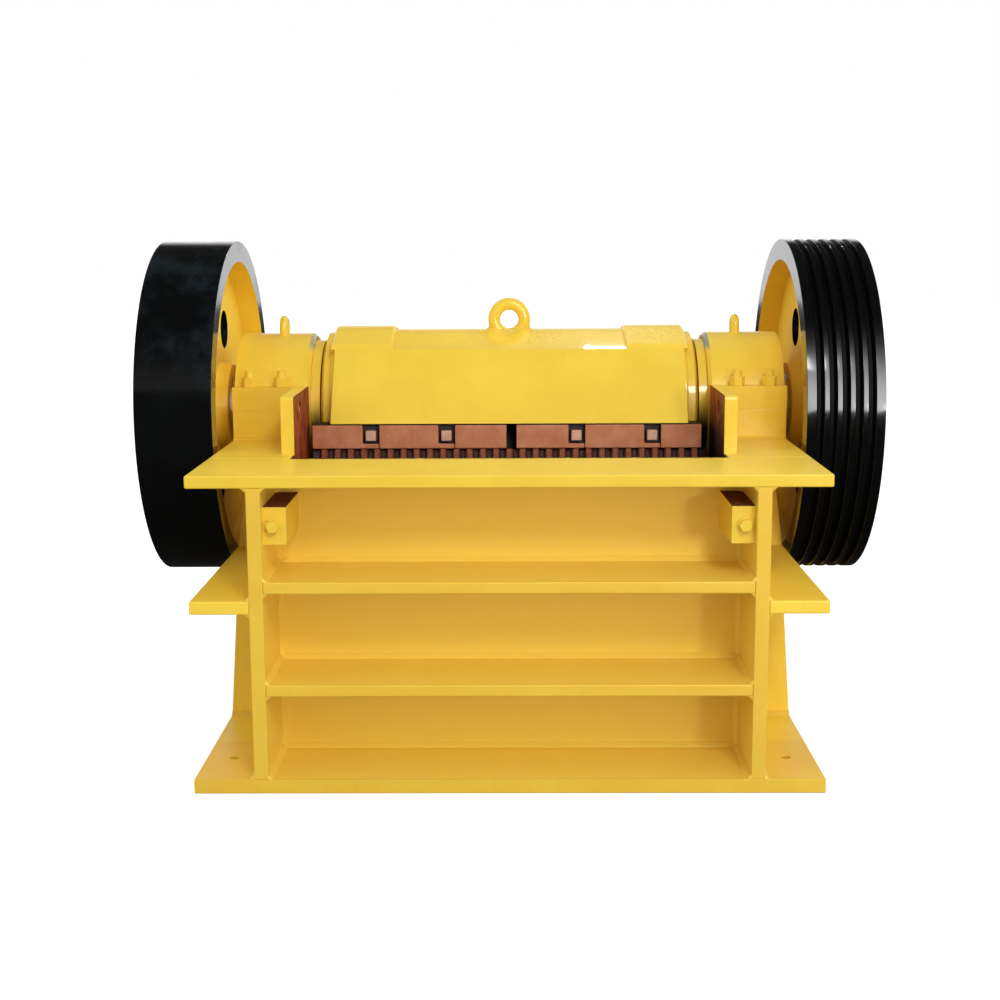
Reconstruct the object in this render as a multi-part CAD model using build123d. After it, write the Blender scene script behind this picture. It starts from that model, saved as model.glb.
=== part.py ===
from build123d import *
from math import acos, atan2, cos, hypot, radians, sin
import os

# Jaw crusher with a feed opening of about 250 by 1200 mm, in millimetres.
# The shaft lies along X, the fixed jaw and the ribbed front wall face -Y, and Z is up.
# The origin is the centre of the foundation bolt pattern, on the underside of the base.

# Base and foundation bolts
base_reach = 163.0
base_inner_reach = 51.0
base_thickness = 38.0
bolt_side_distance = 78.0
bolt_end_distance = 180.0
bolt_hole_radius = 14.0

# Welded side plates and what spans between them
side_gap = 1302.0
side_thickness = 38.0
flange_reach = 160.0
deck_top = 868.0
deck_thickness = 34.0
rear_deck_reach = 132.0
side_rear_slope_length = 200.0
side_rear_slope_drop = 214.0
shelf_top = 531.0
shelf_thickness = 36.0
wall_setback = 278.0
wall_thickness = 48.0
rib_thickness = 33.0
upper_rib_top = 583.0
lower_rib_top = 302.0
rear_bay_depth = 230.0
rear_wall_thickness = 40.0
rear_wall_top = 640.0
ledge_depth = 42.0
ledge_height = 40.0

# Gusset plates under the side flanges
gusset_thickness = 30.0
lower_gusset_setback = 573.0
upper_gusset_distance = 10.0
lower_gusset_head_inset = 29.0
upper_gusset_foot_inset = 1.0
upper_gusset_head_inset = 41.0

# Eccentric shaft and its main bearings
nose_reach = 355.0
shaft_height = 946.0
journal_radius = 95.0
eccentric_radius = 120.0
eccentric_setback = 6.0
eccentricity = 10.0
shaft_end_radius = 80.0
shaft_end_overhang = 14.0
shaft_end_chamfer = 6.0
running_clearance = 0.3
fit_clearance = 0.05
housing_overhang = 35.0
housing_half_depth = 268.0
housing_split = 11.0
housing_bottom_radius = 232.0
housing_bottom_half = 150.0
housing_shoulder = 126.0
cap_flange_thickness = 71.0
cap_radius = 232.0
cap_chamfer = 10.0
seal_radius = 209.0
seal_gap = 5.0
seal_to_jaw = 6.0
seal_width = 28.0

# Studs of the bearing caps and the caps' lifting eyes
stud_inner_distance = 84.0
stud_outer_distance = 50.0
stud_edge_distance = 27.0
stud_radius = 13.0
stud_reach = 50.0
nut_across_flats = 40.0
nut_height = 28.0
cap_eye_setback = 105.0
cap_eye_ring_radius = 25.0
cap_eye_bar_radius = 12.5
cap_eye_rise = 19.0
cap_eye_root = 40.0

# Flywheels
wheel_radius = 524.0
wheel_width = 228.0
wheel_gap = 14.5
rim_thickness = 65.0
rim_draft = 8.0
web_setback = 66.0
web_thickness = 52.0
hub_radius = 140.0
hub_draft = 8.0
hub_setback = 26.0
hub_width = 184.0
wheel_hole_radius = 61.0
wheel_hole_pitch_radius = 251.0
wheel_hole_count = 4
wheel_hole_turn = 16.0
groove_count = 5
groove_pitch = 37.5
groove_top_width = 23.0
groove_bottom_width = 11.0
groove_depth = 20.0

# Crushing chamber
fixed_plate_thickness = 69.0
fixed_plate_side_gap = 13.0
feed_gape = 250.0
discharge_gap = 50.0
chamber_top = 850.0
chamber_bottom = 130.0
fixed_plate_top = 848.0
fixed_plate_bottom = 100.0
moving_plate_side_gap = 18.0
moving_plate_thickness = 70.0
tooth_pitch = 40.0
tooth_depth = 20.0
tooth_crest = 14.0
tooth_root = 12.0
cheek_thickness = 38.0
cheek_top = 1034.0
cheek_corner_radius = 12.0
cheek_rear_gap = 5.0
cheek_bottom_depth = 165.0
cheek_knee_height = 700.0
cheek_bolt_inset = 135.0
cheek_bolt_drop = 50.0
cheek_recess_radius = 25.0
cheek_recess_depth = 20.0

# Swing jaw casting
barrel_radius = 254.0
pad_rise = 11.0
pad_width = 190.0
pad_chamfer = 6.0
crease_stand_off = 31.0
crease_angle = 45.4
end_flange_drop = 10.0
end_flange_width = 31.0
end_flange_slope_width = 9.0
end_flange_slope_drop = 20.0
nose_end_inset = 12.0
jaw_slab_thickness = 90.0
jaw_slab_top = 720.0
jaw_toe_depth = 40.0
jaw_toe_setback = 25.0
jaw_rib_count = 5
jaw_rib_thickness = 44.0
jaw_rib_angle = -20.0
boss_reach = 130.0
boss_top = 320.0
boss_bottom = 205.0
boss_foot = 60.0
boss_head = 260.0

# Clamp blocks that hold the moving jaw plate down
clamp_height = 75.0
clamp_front_step = 5.0
clamp_top_gap = 3.0
clamp_plate_gap = 0.5
clamp_joint_gap = 2.0
clamp_joints_left = (-1.0, -0.66, -0.276, -0.012)
clamp_joints_right = (0.035, 0.383, 0.766, 0.975)
clamp_bolt_drop = 35.0
clamp_head_size = 31.0
clamp_head_reach = 22.0
clamp_pocket_size = 48.0
clamp_pocket_depth = 20.0

# Lifting eye of the swing jaw
eye_ring_radius = 48.0
eye_bar_radius = 19.0
eye_leg_radius = 16.0
eye_leg_spread = 50.0
eye_rise = 31.0

# Clamping lugs in the top bay of the front wall
lug_width = 62.0
lug_bottom = 678.0
lug_top = 780.0
lug_front = 36.0
lug_bolt_inset = 27.0
lug_washer_radius = 21.0
lug_washer_thickness = 5.0
lug_nut_across_flats = 30.0
lug_nut_height = 16.0

# Toggle plate, its seats, the tension rods and their springs
toggle_thickness = 32.0
toggle_plate_inset = 15.0
toggle_seat_inset = 9.0
toggle_jaw_gap = 18.0
toggle_front_height = 262.0
toggle_rear_height = 197.0
toggle_seat_depth = 22.0
toggle_seat_height = 70.0
toggle_block_depth = 96.0
toggle_block_bottom = 140.0
toggle_block_top = 290.0
toggle_groove_depth = 10.0
rod_x = 300.0
rod_height = 92.0
rod_radius = 15.0
rod_jaw_gap = 131.5
rod_hole_clearance = 4.0
spring_radius = 42.0
spring_wire_radius = 8.0
spring_turns = 8
spring_plate_radius = 50.0
spring_plate_thickness = 12.0
rod_nut_height = 28.0
rod_end_reach = 30.0

# Places that follow from the sizes above
nose_setback = wall_setback + wall_thickness + fixed_plate_thickness + feed_gape
shaft_setback = nose_setback + nose_reach
base_length = shaft_setback + housing_half_depth + rear_deck_reach + side_rear_slope_length
front_y = -base_length / 2
rear_y = base_length / 2
side_inner = side_gap / 2
side_outer = side_inner + side_thickness
base_inner = side_inner - base_inner_reach
base_half_width = side_outer + base_reach
flange_half_width = side_outer + flange_reach
bolt_x = base_half_width - bolt_side_distance
bolt_y = rear_y - bolt_end_distance
deck_bottom = deck_top - deck_thickness
shelf_bottom = shelf_top - shelf_thickness
wall_front = front_y + wall_setback
wall_back = wall_front + wall_thickness
rear_wall_back = rear_y - rear_bay_depth
rear_wall_front = rear_wall_back - rear_wall_thickness
axis_y = front_y + shaft_setback
axis_z = shaft_height
wheel_inner = flange_half_width + wheel_gap
wheel_outer = wheel_inner + wheel_width
fixed_tip_y = wall_back + fixed_plate_thickness
tip_top_y = fixed_tip_y + feed_gape
tip_bottom_y = fixed_tip_y + discharge_gap
jaw_angle = atan2(feed_gape - discharge_gap, chamber_top - chamber_bottom)
moving_plate_length = hypot(feed_gape - discharge_gap, chamber_top - chamber_bottom)
cheek_inner = side_inner - cheek_thickness
fixed_plate_half_width = cheek_inner - fixed_plate_side_gap
moving_plate_half_width = cheek_inner - moving_plate_side_gap
housing_inner = side_inner - housing_overhang
housing_front = axis_y - housing_half_depth
housing_back = axis_y + housing_half_depth
split_z = axis_z + housing_split
jaw_end = housing_inner - seal_width - seal_to_jaw
barrel_half_length = jaw_end - end_flange_width
pad_inner = barrel_half_length - pad_width
nose_y = front_y + nose_setback
nose_height = chamber_top + clamp_height
clamp_bolt_height = nose_height - clamp_bolt_drop
pad_radius = barrel_radius + pad_rise
end_flange_radius = barrel_radius - end_flange_drop
crease_radius = barrel_radius + crease_stand_off
nose_half_width = barrel_half_length - nose_end_inset
toggle_block_half_width = nose_half_width - toggle_seat_inset
toggle_half_width = toggle_block_half_width - toggle_plate_inset
jaw_back = moving_plate_thickness + jaw_slab_thickness
low = (Align.CENTER, Align.CENTER, Align.MIN)


def slab(x0, x1, y0, y1, z0, z1):
    """A plate between two opposite corners."""
    return Pos(x0, y0, z0) * Box(x1 - x0, y1 - y0, z1 - z0, align=Align.MIN)


def along_x(outline, x0, x1):
    """An outline of (y, z) points carried along the shaft direction."""
    face = Plane.YZ.offset(x0) * make_face(Polyline(*outline, close=True))
    return extrude(face, amount=x1 - x0)


def along_y(outline, y0, y1):
    """An outline of (x, z) points carried from the front towards the rear."""
    face = Plane.XZ.offset(-y1) * make_face(Polyline(*outline, close=True))
    return extrude(face, amount=y1 - y0)


def disc(x0, x1, radius, y=axis_y, z=axis_z):
    """A round body along the shaft direction."""
    return Plane.YZ.offset(x0).location * Pos(y, z, 0) * Cylinder(radius, x1 - x0, align=low)


def rod_along_y(x, z, y0, y1, radius):
    """A round body from the front towards the rear."""
    return Plane.XZ.offset(-y1).location * Pos(x, z, 0) * Cylinder(radius, y1 - y0, align=low)


def turned(outline, y=axis_y, z=axis_z):
    """A closed outline of (x, radius) points turned about an axis along the shaft direction."""
    plane = Plane((0, y, z), x_dir=(1, 0, 0), z_dir=(0, -1, 0))
    section = plane * make_face(Polyline(*outline, close=True))
    return revolve(section, axis=Axis((0, y, z), (1, 0, 0)))


def both_sides(shape):
    """The piece on the right and its mirror image on the left."""
    return {"right": shape, "left": mirror(shape, about=Plane.YZ)}


def jaw_point(up, back):
    """A (y, z) point beside the moving jaw plate: up along its tooth tips, back through it."""
    y = tip_bottom_y + up * sin(jaw_angle) + back * cos(jaw_angle)
    z = chamber_bottom + up * cos(jaw_angle) - back * sin(jaw_angle)
    return (y, z)


def base_plates():
    """Four strips of the open base, with the foundation bolt holes in the side strips."""
    bolt = Cylinder(bolt_hole_radius, base_thickness, align=low)
    front = slab(-base_half_width, base_half_width, front_y, wall_back, 0, base_thickness)
    front -= Pos(bolt_x, -bolt_y, 0) * bolt
    front -= Pos(-bolt_x, -bolt_y, 0) * bolt
    side = slab(base_inner, base_half_width, wall_back, rear_y, 0, base_thickness)
    side -= Pos(bolt_x, bolt_y, 0) * bolt
    rear = slab(-base_inner, base_inner, rear_wall_front, rear_y, 0, base_thickness)
    return front, side, rear


def side_plate():
    """One side plate, with the notch at its top that the bearing housing sits in."""
    outline = [(front_y, base_thickness), (front_y, deck_bottom)]
    outline += [(housing_front, deck_bottom), (housing_front, axis_z - housing_shoulder)]
    outline += [(axis_y - housing_bottom_half, axis_z - housing_bottom_radius)]
    outline += [(axis_y + housing_bottom_half, axis_z - housing_bottom_radius)]
    outline += [(housing_back, axis_z - housing_shoulder), (housing_back, deck_bottom)]
    outline += [(rear_y - side_rear_slope_length, deck_bottom)]
    outline += [(rear_y, deck_bottom - side_rear_slope_drop), (rear_y, base_thickness)]
    return along_x(outline, side_inner, side_outer)


def deck_flange():
    """The side flange of the deck, in front of the bearing housing and behind it."""
    outline = [(cheek_inner, wall_back), (flange_half_width, wall_back)]
    outline += [(flange_half_width, housing_front), (side_inner, housing_front)]
    outline += [(side_inner, fixed_tip_y), (cheek_inner, fixed_tip_y)]
    face = Plane.XY.offset(deck_bottom) * make_face(Polyline(*outline, close=True))
    front = extrude(face, amount=deck_thickness)
    rear_end = rear_y - side_rear_slope_length
    rear = slab(side_inner, flange_half_width, housing_back, rear_end, deck_bottom, deck_top)
    return front + rear


def gussets():
    """Tapered plates under the deck flange and under the shelf, before and behind the shaft."""
    lower_head = flange_half_width - lower_gusset_head_inset
    upper_foot = flange_half_width - upper_gusset_foot_inset
    upper_head = flange_half_width - upper_gusset_head_inset
    lower = [(side_outer, base_thickness), (base_half_width, base_thickness)]
    lower += [(lower_head, shelf_bottom), (side_outer, shelf_bottom)]
    upper = [(side_outer, shelf_top), (upper_foot, shelf_top)]
    upper += [(upper_head, deck_bottom), (side_outer, deck_bottom)]
    housing = along_x(housing_outline(), side_outer, flange_half_width)
    made = []
    upper_y = housing_front + upper_gusset_distance
    for outline, y0 in ((lower, front_y + lower_gusset_setback), (upper, upper_y)):
        made.append(along_y(outline, y0, y0 + gusset_thickness) - housing)
        mirrored = 2 * axis_y - y0
        made.append(along_y(outline, mirrored - gusset_thickness, mirrored) - housing)
    return Compound(children=made)


def front_wall():
    """The front wall with the ledge that carries the fixed jaw plate."""
    wall = slab(-side_inner, side_inner, wall_front, wall_back, base_thickness, deck_bottom)
    ledge_top = fixed_plate_bottom
    ledge = slab(-fixed_plate_half_width, fixed_plate_half_width, wall_back, wall_back + ledge_depth,
                 ledge_top - ledge_height, ledge_top)
    return wall + ledge


def rear_wall():
    """The rear wall with the holes that the tension rods pass through."""
    wall = slab(-side_inner, side_inner, rear_wall_front, rear_wall_back, base_thickness, rear_wall_top)
    for x in (-rod_x, rod_x):
        wall -= rod_along_y(x, rod_height, rear_wall_front, rear_wall_back, rod_radius + rod_hole_clearance)
    return wall


def housing_outline():
    """The lower half of a bearing housing, seen along the shaft."""
    outline = [(housing_front, split_z), (housing_front, axis_z - housing_shoulder)]
    outline += [(axis_y - housing_bottom_half, axis_z - housing_bottom_radius)]
    outline += [(axis_y + housing_bottom_half, axis_z - housing_bottom_radius)]
    outline += [(housing_back, axis_z - housing_shoulder), (housing_back, split_z)]
    return outline


def bearing_seat():
    """The lower half of a main bearing housing."""
    block = along_x(housing_outline(), housing_inner, flange_half_width)
    return block - disc(housing_inner, flange_half_width, journal_radius + running_clearance)


def cap_eye():
    """The bent bar on a bearing cap, rooted in the round part of the cap."""
    x = housing_inner + cap_eye_setback
    z = axis_z + cap_radius + cap_eye_rise
    root = axis_z + cap_radius - cap_eye_root
    across = Plane((x, axis_y, z), x_dir=(0, 1, 0), z_dir=(1, 0, 0))
    bar = across * Pos(cap_eye_ring_radius, 0, 0) * Rot(X=90) * Circle(cap_eye_bar_radius)
    eye = revolve(bar, axis=Axis((x, axis_y, z), (1, 0, 0)), revolution_arc=180)
    for y in (axis_y - cap_eye_ring_radius, axis_y + cap_eye_ring_radius):
        eye += Pos(x, y, root) * Cylinder(cap_eye_bar_radius, z - root, align=low)
    return eye


def bearing_cap():
    """The upper half of a main bearing housing, with its lifting eye."""
    flange_top = split_z + cap_flange_thickness
    cap = disc(housing_inner, flange_half_width, cap_radius)
    cap = chamfer(cap.edges().filter_by(GeomType.CIRCLE).sort_by(Axis.X)[0], cap_chamfer)
    cap += slab(housing_inner, flange_half_width, housing_front, housing_back, split_z, flange_top)
    cap -= slab(housing_inner, flange_half_width, housing_front, housing_back, axis_z - cap_radius, split_z)
    cap += cap_eye()
    return cap - disc(housing_inner, flange_half_width, journal_radius + running_clearance)


def hexagon(across_flats, height):
    """A plain hexagon nut standing on the XY plane."""
    return extrude(RegularPolygon(across_flats / 2, 6, major_radius=False), amount=height)


def cap_studs():
    """The studs and nuts that hold one bearing cap down."""
    made = []
    for x in (housing_inner + stud_inner_distance, flange_half_width - stud_outer_distance):
        for y in (housing_front + stud_edge_distance, housing_back - stud_edge_distance):
            place = Pos(x, y, split_z + cap_flange_thickness)
            stud = hexagon(nut_across_flats, nut_height)
            stud += Cylinder(stud_radius, stud_reach, align=low)
            made.append(place * stud)
    return Compound(children=made)


def seal_ring():
    """The ring that closes a bearing housing towards the swing jaw."""
    x0 = housing_inner - seal_width
    return disc(x0, housing_inner, seal_radius) - disc(x0, housing_inner, journal_radius + seal_gap)


def cheek_plate():
    """The liner plate on the inner side of a side plate."""
    back = housing_front - cheek_rear_gap
    outline = [(fixed_tip_y, fixed_plate_bottom), (fixed_tip_y, cheek_top), (back, cheek_top)]
    outline += [(back, cheek_knee_height), (fixed_tip_y + cheek_bottom_depth, fixed_plate_bottom)]
    plate = along_x(outline, cheek_inner, side_inner)
    edges = plate.edges().filter_by(Axis.X).sort_by(lambda edge: edge.center().Z - edge.center().Y)
    plate = fillet(edges[-1], cheek_corner_radius)
    recess_end = cheek_inner + cheek_recess_depth
    recess_y, recess_z = fixed_tip_y + cheek_bolt_inset, cheek_top - cheek_bolt_drop
    return plate - disc(cheek_inner, recess_end, cheek_recess_radius, recess_y, recess_z)


def tooth_outline(half_width, thickness, first_crest):
    """A jaw plate's section: flat at the back, vertical teeth towards the stone at y = 0."""
    outline = [(half_width, thickness), (-half_width, thickness), (-half_width, tooth_depth)]
    count = int((2 * half_width - tooth_crest) // tooth_pitch) + 1
    x = -first_crest - (count // 2) * tooth_pitch
    while x + tooth_pitch / 2 < half_width:
        if x - tooth_pitch / 2 > -half_width:
            outline += [(x - tooth_pitch / 2 + tooth_root / 2, tooth_depth), (x - tooth_crest / 2, 0)]
            outline += [(x + tooth_crest / 2, 0), (x + tooth_pitch / 2 - tooth_root / 2, tooth_depth)]
        x += tooth_pitch
    outline += [(half_width, tooth_depth)]
    return make_face(Polyline(*outline, close=True))


def fixed_jaw_plate():
    """The toothed plate against the front wall."""
    section = tooth_outline(fixed_plate_half_width, fixed_plate_thickness, tooth_pitch / 2)
    place = Plane((0, fixed_tip_y, fixed_plate_bottom), x_dir=(1, 0, 0), z_dir=(0, 0, 1))
    flipped = mirror(section, about=Plane.XZ)
    return extrude(place * flipped, amount=fixed_plate_top - fixed_plate_bottom)


def moving_jaw_plate():
    """The toothed plate on the swing jaw, its crests facing the fixed plate's roots."""
    section = tooth_outline(moving_plate_half_width, moving_plate_thickness, 0)
    up = (0, sin(jaw_angle), cos(jaw_angle))
    place = Plane((0, tip_bottom_y, chamber_bottom), x_dir=(1, 0, 0), z_dir=up)
    return extrude(place * section, amount=moving_plate_length)


def seat_at_height(height):
    """The (y, z) point of the jaw casting's plate seat at a height."""
    up = (height - chamber_bottom + moving_plate_thickness * sin(jaw_angle)) / cos(jaw_angle)
    return jaw_point(up, moving_plate_thickness)


def barrel_point(radius, angle):
    """The (y, z) point at a radius from the barrel's centre and an angle above the horizontal in front."""
    return (axis_y - radius * cos(angle), axis_z - eccentricity + radius * sin(angle))


def crease_and_roof(radius):
    """Where the sloping front meets the roof, and where that roof touches a barrel of the given radius."""
    crease = barrel_point(crease_radius, radians(crease_angle))
    angle = radians(crease_angle) + acos(barrel_radius / crease_radius)
    roof = barrel_point(radius, angle)
    slope_y, slope_z = crease[0] - nose_y, crease[1] - nose_height
    rise = (radius - barrel_radius) / (slope_z * sin(angle) - slope_y * cos(angle))
    return [(crease[0] + rise * slope_y, crease[1] + rise * slope_z), roof]


def barrel_outline():
    """The turned part of the casting as (x, radius) points, with a pad and a flange at each end."""
    end = [(pad_inner, barrel_radius), (pad_inner, pad_radius - pad_chamfer)]
    end += [(pad_inner + pad_chamfer, pad_radius), (barrel_half_length - pad_chamfer, pad_radius)]
    end += [(barrel_half_length, pad_radius - pad_chamfer), (barrel_half_length, end_flange_radius)]
    end += [(jaw_end - end_flange_slope_width, end_flange_radius)]
    end += [(jaw_end, end_flange_radius - end_flange_slope_drop), (jaw_end, 0)]
    return end + [(-x, radius) for x, radius in reversed(end)]


def roof_pad():
    """The raised pad on the roof at one end, in front of the turned pad."""
    centre = (axis_y, axis_z - eccentricity)
    corner, roof = crease_and_roof(pad_radius)
    pad = along_x([crease_and_roof(barrel_radius)[0], corner, roof, centre], pad_inner, barrel_half_length)
    middle = ((corner[0] + roof[0]) / 2, (corner[1] + roof[1]) / 2)
    ends = [pad.edges().sort_by_distance((x, *middle))[0] for x in (pad_inner, barrel_half_length)]
    return chamfer(ends, pad_chamfer)


def swing_jaw():
    """The swing jaw casting: barrel, sloping front, roof with pads, plate seat, ribs and toggle boss."""
    centre = (axis_y, axis_z - eccentricity)
    front = [(nose_y, nose_height), *crease_and_roof(barrel_radius), centre]
    front += [jaw_point(jaw_slab_top, jaw_back), jaw_point(-jaw_toe_depth, jaw_back)]
    front += [jaw_point(-jaw_toe_depth, jaw_toe_setback), jaw_point(-clamp_plate_gap, jaw_toe_setback)]
    front += [jaw_point(-clamp_plate_gap, moving_plate_thickness), seat_at_height(nose_height)]
    jaw = along_x(front, -nose_half_width, nose_half_width)
    jaw += turned(barrel_outline(), *centre)
    jaw += roof_pad()
    jaw += mirror(roof_pad(), about=Plane.YZ)
    boss_y = jaw_point(boss_head, jaw_back)[0] + boss_reach
    boss = [jaw_point(boss_foot, jaw_back), (boss_y, boss_bottom), (boss_y, boss_top)]
    boss += [jaw_point(boss_head, jaw_back)]
    jaw += along_x(boss, -nose_half_width, nose_half_width)
    turn = radians(jaw_rib_angle)
    rib = [centre, (centre[0] + barrel_radius * cos(turn), centre[1] + barrel_radius * sin(turn))]
    rib += [(boss_y, boss_top), jaw_point(boss_head, jaw_back), jaw_point(jaw_slab_top, jaw_back)]
    step = (2 * nose_half_width - jaw_rib_thickness) / (jaw_rib_count - 1)
    for number in range(jaw_rib_count):
        x = -nose_half_width + number * step
        jaw += along_x(rib, x, x + jaw_rib_thickness)
    bore = eccentric_radius + running_clearance
    seat = [jaw_point(-clamp_plate_gap, moving_plate_thickness), seat_at_height(nose_height)]
    seat += [(nose_y, nose_height), jaw_point(-clamp_plate_gap, 0)]
    jaw -= along_x(seat, -barrel_half_length, barrel_half_length)
    return jaw - disc(-jaw_end, jaw_end, bore, *centre)


def clamp_outline():
    """The section of the clamp blocks between the nose, the seat and the plate's top edge."""
    front = tip_top_y - clamp_front_step
    top = nose_height - clamp_top_gap
    rest = moving_plate_length + clamp_plate_gap
    start = jaw_point(rest, 0)
    slope = (start[0] - front) * sin(jaw_angle) / cos(jaw_angle)
    back = jaw_point(rest, moving_plate_thickness)
    return [(front, start[1] + slope), back, seat_at_height(top), (front, top)]


def clamp_blocks(joints):
    """The clamp blocks between the given joints, with pockets for the bolt heads at inner joints."""
    front = tip_top_y - clamp_front_step
    top = nose_height - clamp_top_gap
    bottom = clamp_bolt_height - clamp_pocket_size / 2
    made = []
    for start, end in zip(joints, joints[1:]):
        x0 = start * moving_plate_half_width + clamp_joint_gap / 2
        x1 = end * moving_plate_half_width - clamp_joint_gap / 2
        block = along_x(clamp_outline(), x0, x1)
        if end != joints[-1]:
            block -= slab(x1 - clamp_pocket_size, x1, front, front + clamp_pocket_depth, bottom, top)
        made.append(block)
    return Compound(children=made)


def clamp_bolts():
    """The square heads of the bolts that pull the clamp blocks against the casting."""
    seat = tip_top_y - clamp_front_step + clamp_pocket_depth
    half = clamp_head_size / 2
    z = clamp_bolt_height
    made = []
    for joint in clamp_joints_left[1:-1] + clamp_joints_right[1:-1]:
        x = joint * moving_plate_half_width - clamp_joint_gap / 2 - clamp_pocket_size / 2
        head = slab(x - half, x + half, seat - clamp_head_reach, seat, z - half, z + half)
        made.append(head)
    return Compound(children=made)


def lifting_eye():
    """The ring on top of the barrel, with a leg at each side of it."""
    centre_z = axis_z - eccentricity + barrel_radius + eye_rise
    upright = Plane((0, axis_y, centre_z), x_dir=(1, 0, 0), z_dir=(0, -1, 0))
    ring = upright.location * Torus(eye_ring_radius, eye_bar_radius)
    reach = eye_ring_radius + eye_bar_radius
    for x in (-eye_leg_spread, eye_leg_spread):
        ring += Pos(x, axis_y, axis_z) * Cylinder(eye_leg_radius, centre_z - axis_z, align=low)
    return ring - disc(-reach, reach, barrel_radius, axis_y, axis_z - eccentricity)


def eccentric_shaft():
    """The main shaft, its middle offset downwards by the eccentricity."""
    end = wheel_inner + hub_setback + hub_width + shaft_end_overhang
    journal_end = wheel_inner + hub_setback
    stub = disc(-end, end, shaft_end_radius)
    stub = chamfer(stub.edges().filter_by(GeomType.CIRCLE), shaft_end_chamfer)
    shaft = stub + disc(-journal_end, journal_end, journal_radius)
    half = jaw_end - eccentric_setback
    return shaft + disc(-half, half, eccentric_radius, axis_y, axis_z - eccentricity)


def wheel_outline(grooves):
    """Half of a flywheel's section as (x, radius) points, from the hub bore outwards."""
    hub_in = wheel_inner + hub_setback
    hub_out = hub_in + hub_width
    web_in = wheel_inner + web_setback
    web_out = web_in + web_thickness
    bore = shaft_end_radius + fit_clearance
    rim = wheel_radius - rim_thickness
    points = [(hub_in, bore), (hub_in, hub_radius - hub_draft), (web_in, hub_radius)]
    points += [(web_in, rim - rim_draft), (wheel_inner, rim), (wheel_inner, wheel_radius)]
    if grooves:
        middle = (wheel_inner + wheel_outer) / 2
        for number in range(groove_count):
            x = middle + (number - (groove_count - 1) / 2) * groove_pitch
            points += [(x - groove_top_width / 2, wheel_radius)]
            points += [(x - groove_bottom_width / 2, wheel_radius - groove_depth)]
            points += [(x + groove_bottom_width / 2, wheel_radius - groove_depth)]
            points += [(x + groove_top_width / 2, wheel_radius)]
    points += [(wheel_outer, wheel_radius), (wheel_outer, rim), (web_out, rim - rim_draft)]
    points += [(web_out, hub_radius), (hub_out, hub_radius - hub_draft), (hub_out, bore)]
    return points


def flywheel(grooves):
    """A cast flywheel on the right end of the shaft, with round holes in its web."""
    wheel = turned(wheel_outline(grooves))
    web_in = wheel_inner + web_setback
    for number in range(wheel_hole_count):
        turn = radians(wheel_hole_turn + 90 + 360 * number / wheel_hole_count)
        y = axis_y - wheel_hole_pitch_radius * cos(turn)
        z = axis_z + wheel_hole_pitch_radius * sin(turn)
        wheel -= disc(web_in, web_in + web_thickness, wheel_hole_radius, y, z)
    return wheel


def bolt_lug():
    """The lug welded in the corner of the top bay, with the washer and nut of its bolt."""
    inner = side_inner - lug_width
    lug = slab(inner, side_inner, front_y + lug_front, wall_front, lug_bottom, lug_top)
    x = side_inner - lug_bolt_inset
    z = (lug_top + lug_bottom) / 2
    front = front_y + lug_front
    lug += rod_along_y(x, z, front - lug_washer_thickness, front, lug_washer_radius)
    nut = Plane.XZ.offset(-(front - lug_washer_thickness)).location * Pos(x, z, 0)
    return lug + nut * hexagon(lug_nut_across_flats, lug_nut_height)


def toggle_ends():
    """The centres of the rounded ends of the toggle plate, as (y, z) points."""
    radius = toggle_thickness / 2
    front = jaw_point(boss_head, jaw_back)[0] + boss_reach
    front += toggle_seat_depth + toggle_jaw_gap + radius
    rear = rear_wall_front - toggle_block_depth + toggle_groove_depth - radius - running_clearance
    return (front, toggle_front_height), (rear, toggle_rear_height)


def toggle_plate():
    """The toggle plate between the swing jaw and the block on the rear wall."""
    (y0, z0), (y1, z1) = toggle_ends()
    radius = toggle_thickness / 2
    length = hypot(y1 - y0, z1 - z0)
    along = ((y1 - y0) / length * radius, (z1 - z0) / length * radius)
    outline = [(y0 - along[1], z0 + along[0]), (y1 - along[1], z1 + along[0])]
    outline += [(y1 + along[1], z1 - along[0]), (y0 + along[1], z0 - along[0])]
    plate = along_x(outline, -toggle_half_width, toggle_half_width)
    plate += disc(-toggle_half_width, toggle_half_width, radius, y0, z0)
    return plate + disc(-toggle_half_width, toggle_half_width, radius, y1, z1)


def toggle_block():
    """The adjustable block on the rear wall, with the groove that holds the toggle plate."""
    front = rear_wall_front - toggle_block_depth
    half = toggle_block_half_width
    block = slab(-half, half, front, rear_wall_front, toggle_block_bottom, toggle_block_top)
    y, z = toggle_ends()[1]
    return block - disc(-half, half, toggle_thickness / 2 + running_clearance, y, z)


def jaw_toggle_seat():
    """The seat on the swing jaw that the toggle plate pushes against."""
    front = jaw_point(boss_head, jaw_back)[0] + boss_reach
    bottom = toggle_front_height - toggle_seat_height / 2
    half = toggle_block_half_width
    return slab(-half, half, front, front + toggle_seat_depth, bottom, bottom + toggle_seat_height)


def tension_rod():
    """A tension rod through the rear wall, with its spring plate and nut."""
    spring_length = 2 * spring_wire_radius * spring_turns
    spring_end = rear_wall_back + spring_length
    plate_end = spring_end + spring_plate_thickness
    rod_end = plate_end + rod_nut_height + rod_end_reach
    rod_start = jaw_point(-jaw_toe_depth, jaw_back)[0] + rod_jaw_gap
    rod = rod_along_y(rod_x, rod_height, rod_start, rod_end, rod_radius)
    rod += rod_along_y(rod_x, rod_height, spring_end, plate_end, spring_plate_radius)
    nut = Plane.XZ.offset(-(plate_end + rod_nut_height)).location * Pos(rod_x, rod_height, 0)
    return rod + nut * hexagon(nut_across_flats, rod_nut_height)


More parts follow.
